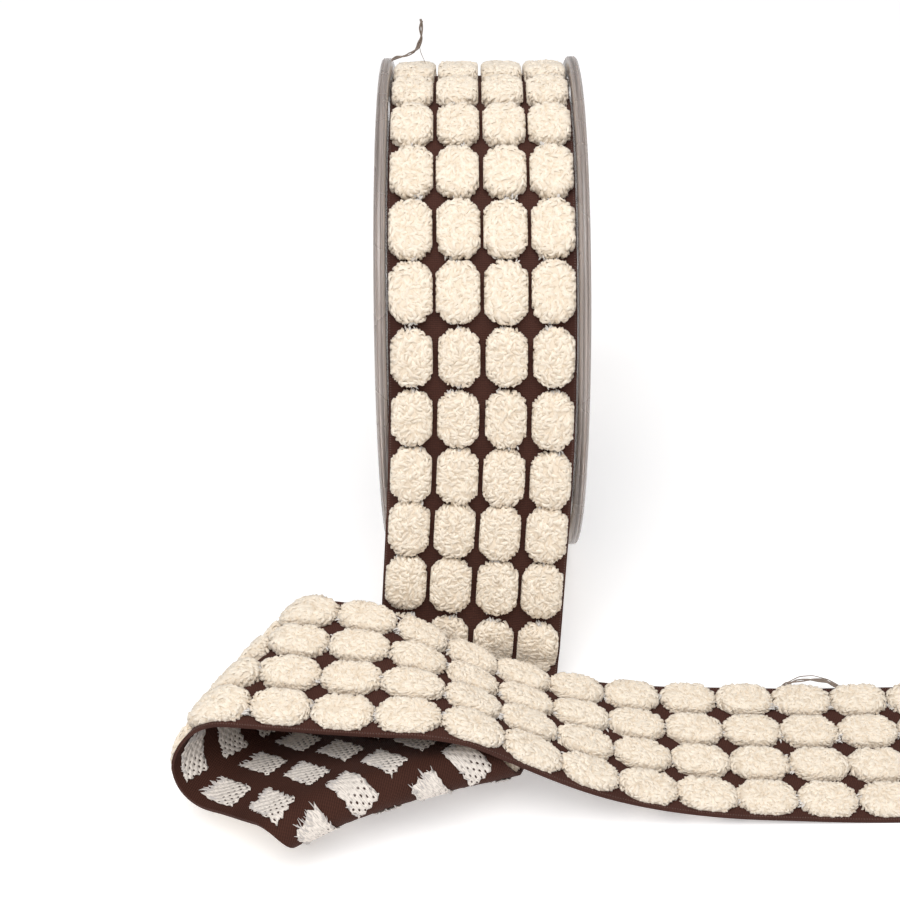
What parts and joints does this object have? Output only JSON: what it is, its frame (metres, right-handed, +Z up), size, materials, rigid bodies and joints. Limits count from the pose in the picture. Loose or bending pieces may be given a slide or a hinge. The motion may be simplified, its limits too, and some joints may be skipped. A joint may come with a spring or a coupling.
{
  "type": "chenille ribbon on a spool",
  "caption": "Tufted chenille ribbon wound on a clear flanged spool, its loose end hanging off, folded over itself and lying flat.",
  "frame": {"origin": "middle of the bounding box, on the surface that the spool and the loose end rest on", "axes": "+X along the spool's axis, to the side where the loose end runs off; +Y to the back; +Z up"},
  "size_m": [0.1678, 0.1864, 0.1156],
  "materials": {
    "clear_plastic": "clear moulded polystyrene, slightly grey at its edges",
    "chenille": "cream looped pile tufts on a dark brown woven tape"
  },
  "bodies": {
    "root": {"flange_left": "clear_plastic", "flange_right": "clear_plastic", "hub": "clear_plastic", "ribbon_roll": "chenille", "ribbon_tail": "chenille"}
  },
  "joints": []
}
